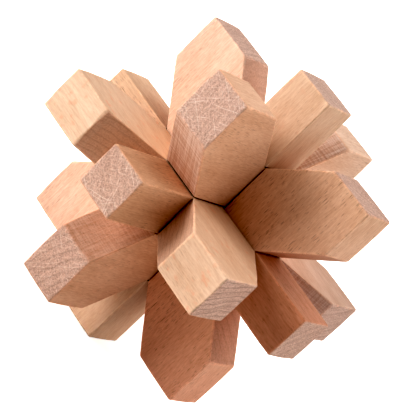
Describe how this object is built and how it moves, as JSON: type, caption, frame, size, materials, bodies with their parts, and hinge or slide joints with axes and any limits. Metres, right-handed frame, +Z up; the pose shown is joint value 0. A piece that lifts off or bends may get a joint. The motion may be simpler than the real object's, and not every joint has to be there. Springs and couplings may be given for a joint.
{
  "type": "wooden burr puzzle",
  "caption": "Interlocking wooden burr puzzle: notched square sticks and horned side sticks lock into a star, and the key stick slides out to open it.",
  "frame": {"origin": "the puzzle's centre, where the axes of the three square sticks cross; it is also the centre of the closed puzzle's box", "axes": "+Z up along the upright stick, +X along the cross stick, -Y the front, along the key stick towards its head, which is the way the key slides out"},
  "size_m": [0.0792, 0.0792, 0.0792],
  "materials": {
    "key_beech": "bare sanded beech, matt, speckled end grain",
    "core_beech": "bare sanded beech, matt",
    "front_beech": "bare sanded beech, matt",
    "cap_beech": "bare sanded beech, matt",
    "side_beech": "bare sanded beech, matt"
  },
  "bodies": {
    "core": {"upright_stick": "core_beech", "cross_stick": "core_beech", "top_horned_stick": "cap_beech", "bottom_horned_stick": "cap_beech", "back_horned_stick": "front_beech"},
    "right_side": {"right_horned_stick": "side_beech"},
    "left_side": {"left_horned_stick": "side_beech"},
    "front": {"front_horned_stick": "front_beech"},
    "key": {"key_stick": "key_beech"}
  },
  "joints": [
    {"name": "side_slide", "type": "slide", "parent": "core", "child": "right_side", "axis": [0, -1, 0], "range_m": [0, 0.04]},
    {"name": "left_side_slide", "type": "slide", "parent": "core", "child": "left_side", "axis": [0, -1, 0], "range_m": [0, 0.04]},
    {"name": "front_slide", "type": "slide", "parent": "right_side", "child": "front", "axis": [0, -1, 0], "range_m": [0, 0.034]},
    {"name": "key_slide", "type": "slide", "parent": "front", "child": "key", "axis": [0, -1, 0], "range_m": [0, 0.074]}
  ],
  "couplings": [
    {"joint": "left_side_slide", "follows": "side_slide", "ratio": 1}
  ]
}
